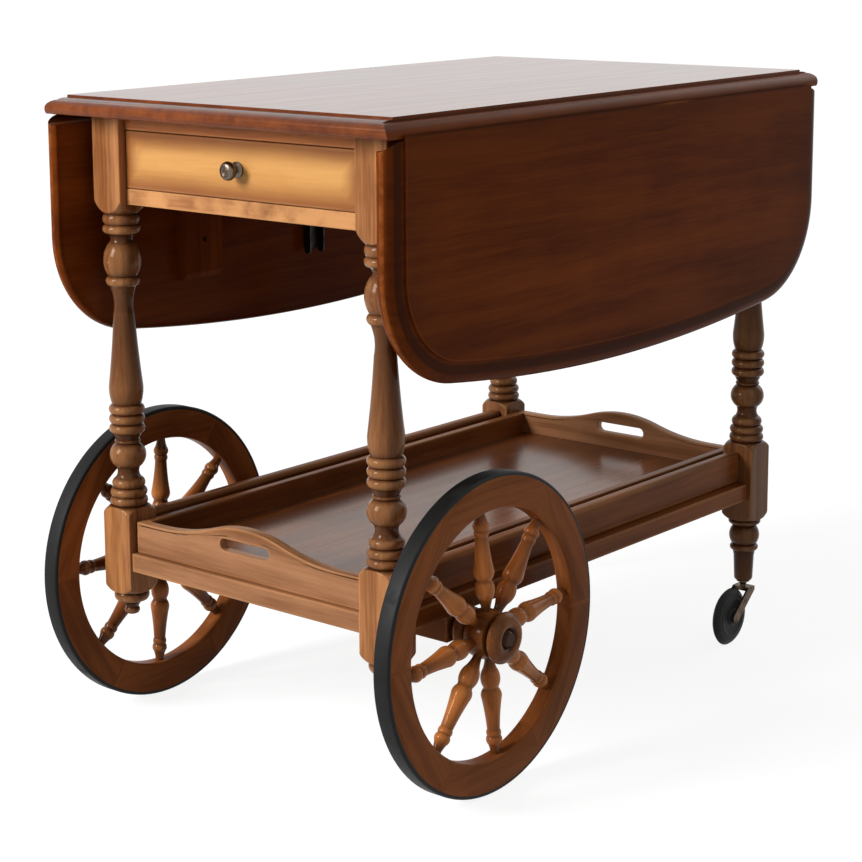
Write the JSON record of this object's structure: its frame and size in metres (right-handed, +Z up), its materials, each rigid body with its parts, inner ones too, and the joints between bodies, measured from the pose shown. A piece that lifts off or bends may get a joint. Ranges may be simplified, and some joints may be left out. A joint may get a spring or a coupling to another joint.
{
  "type": "drop leaf tea trolley",
  "caption": "Drop leaf tea trolley: turned wooden table on large spoked wheels and swivel casters, with hinged side leaves, a drawer and a lift-out tray on the lower shelf.",
  "frame": {"origin": "on the floor, under the middle of the trolley's box", "axes": "+Z up, -Y towards the drawer end, which runs on the large wheels, X along the axle"},
  "size_m": [0.5438, 0.8215, 0.712],
  "materials": {
    "top_wood": "glossy varnish",
    "leaf_wood": "glossy varnish",
    "frame_wood": "glossy varnish, worn on the edges",
    "drawer_front_wood": "glossy varnish shaded darker at the edges",
    "drawer_box_wood": "bare wood",
    "tray_wood": "glossy varnish",
    "wheel_wood": "glossy varnish",
    "tyre": "worn black rubber",
    "hinge_steel": "dull aged steel",
    "stay_steel": "dull aged steel",
    "axle_steel": "bare steel",
    "knob_brass": "antique brass",
    "caster_bronze": "dark bronze plate",
    "caster_rubber": "hard black rubber"
  },
  "bodies": {
    "frame": {"apron_back": "frame_wood", "apron_left": "frame_wood", "apron_right": "frame_wood", "axle_beam": "frame_wood", "axle_fittings": "axle_steel", "axle_rod": "axle_steel", "caster_sockets": "caster_bronze", "drawer_rail_lower": "frame_wood", "drawer_rail_upper": "frame_wood", "drawer_runner_left": "drawer_box_wood", "drawer_runner_right": "drawer_box_wood", "hinge_top_plates": "hinge_steel", "leg_front_left": "frame_wood", "leg_front_right": "frame_wood", "leg_rear_left": "frame_wood", "leg_rear_right": "frame_wood", "shelf_fence_left": "frame_wood", "shelf_fence_right": "frame_wood", "shelf_rail_front": "frame_wood", "shelf_rail_left": "frame_wood", "shelf_rail_rear": "frame_wood", "shelf_rail_right": "frame_wood", "stay_keepers": "stay_steel", "top_board": "top_wood"},
    "left_caster": {"caster_fork_left": "caster_bronze"},
    "right_caster": {"caster_fork_right": "caster_bronze"},
    "left_caster_wheel": {"caster_wheel_left": "caster_rubber"},
    "right_caster_wheel": {"caster_wheel_right": "caster_rubber"},
    "drawer": {"drawer_back": "drawer_box_wood", "drawer_bottom": "drawer_box_wood", "drawer_front": "drawer_front_wood", "drawer_knob": "knob_brass", "drawer_side_left": "drawer_box_wood", "drawer_side_right": "drawer_box_wood"},
    "left_leaf": {"hinge_leaf_plates_left": "hinge_steel", "leaf_cleats_left": "leaf_wood", "leaf_left": "leaf_wood", "stay_plate_left": "stay_steel"},
    "right_leaf": {"hinge_leaf_plates_right": "hinge_steel", "leaf_cleats_right": "leaf_wood", "leaf_right": "leaf_wood", "stay_plate_right": "stay_steel"},
    "left_stay": {"stay_arm_left": "stay_steel"},
    "right_stay": {"stay_arm_right": "stay_steel"},
    "tray": {"tray_end_front": "tray_wood", "tray_end_rear": "tray_wood", "tray_floor": "tray_wood", "tray_side_left": "tray_wood", "tray_side_right": "tray_wood"},
    "left_wheel": {"wheel_felloe_left": "wheel_wood", "wheel_hub_cap_left": "wheel_wood", "wheel_hub_left": "wheel_wood", "wheel_spokes_left": "wheel_wood", "wheel_tyre_left": "tyre"},
    "right_wheel": {"wheel_felloe_right": "wheel_wood", "wheel_hub_cap_right": "wheel_wood", "wheel_hub_right": "wheel_wood", "wheel_spokes_right": "wheel_wood", "wheel_tyre_right": "tyre"}
  },
  "joints": [
    {"name": "left_leaf_fold", "type": "hinge", "parent": "frame", "child": "left_leaf", "pos_m": [-0.2295, 0.00775, 0.6955], "axis": [0, 1, 0], "range_deg": [0, 90]},
    {"name": "left_stay_swing", "type": "hinge", "parent": "left_leaf", "child": "left_stay", "pos_m": [-0.217, 0.00775, 0.6205], "axis": [0, 1, 0], "range_deg": [-145, 0]},
    {"name": "left_wheel_spin", "type": "hinge", "parent": "frame", "child": "left_wheel", "pos_m": [-0.2419, -0.24025, 0.1705], "axis": [1, 0, 0], "continuous": true},
    {"name": "left_caster_swivel", "type": "hinge", "parent": "frame", "child": "left_caster", "pos_m": [-0.1885, 0.35175, 0.076], "axis": [0, 0, 1], "continuous": true},
    {"name": "left_caster_spin", "type": "hinge", "parent": "left_caster", "child": "left_caster_wheel", "pos_m": [-0.1885, 0.31975, 0.036], "axis": [1, 0, 0], "continuous": true},
    {"name": "right_leaf_fold", "type": "hinge", "parent": "frame", "child": "right_leaf", "pos_m": [0.2295, 0.00775, 0.6955], "axis": [0, -1, 0], "range_deg": [0, 90]},
    {"name": "right_stay_swing", "type": "hinge", "parent": "right_leaf", "child": "right_stay", "pos_m": [0.217, 0.00775, 0.6205], "axis": [0, -1, 0], "range_deg": [-145, 0]},
    {"name": "right_wheel_spin", "type": "hinge", "parent": "frame", "child": "right_wheel", "pos_m": [0.2419, -0.24025, 0.1705], "axis": [1, 0, 0], "continuous": true},
    {"name": "right_caster_swivel", "type": "hinge", "parent": "frame", "child": "right_caster", "pos_m": [0.1885, 0.35175, 0.076], "axis": [0, 0, 1], "continuous": true},
    {"name": "right_caster_spin", "type": "hinge", "parent": "right_caster", "child": "right_caster_wheel", "pos_m": [0.1885, 0.31975, 0.036], "axis": [1, 0, 0], "continuous": true},
    {"name": "drawer_slide", "type": "slide", "parent": "frame", "child": "drawer", "axis": [0, -1, 0], "range_m": [0, 0.26]},
    {"name": "tray_slide", "type": "slide", "parent": "frame", "child": "tray", "axis": [0, -1, 0], "range_m": [0, 0.735]}
  ],
  "couplings": [
    {"joint": "left_stay_swing", "follows": "left_leaf_fold", "ratio": -1.5917},
    {"joint": "right_stay_swing", "follows": "right_leaf_fold", "ratio": -1.5917}
  ]
}
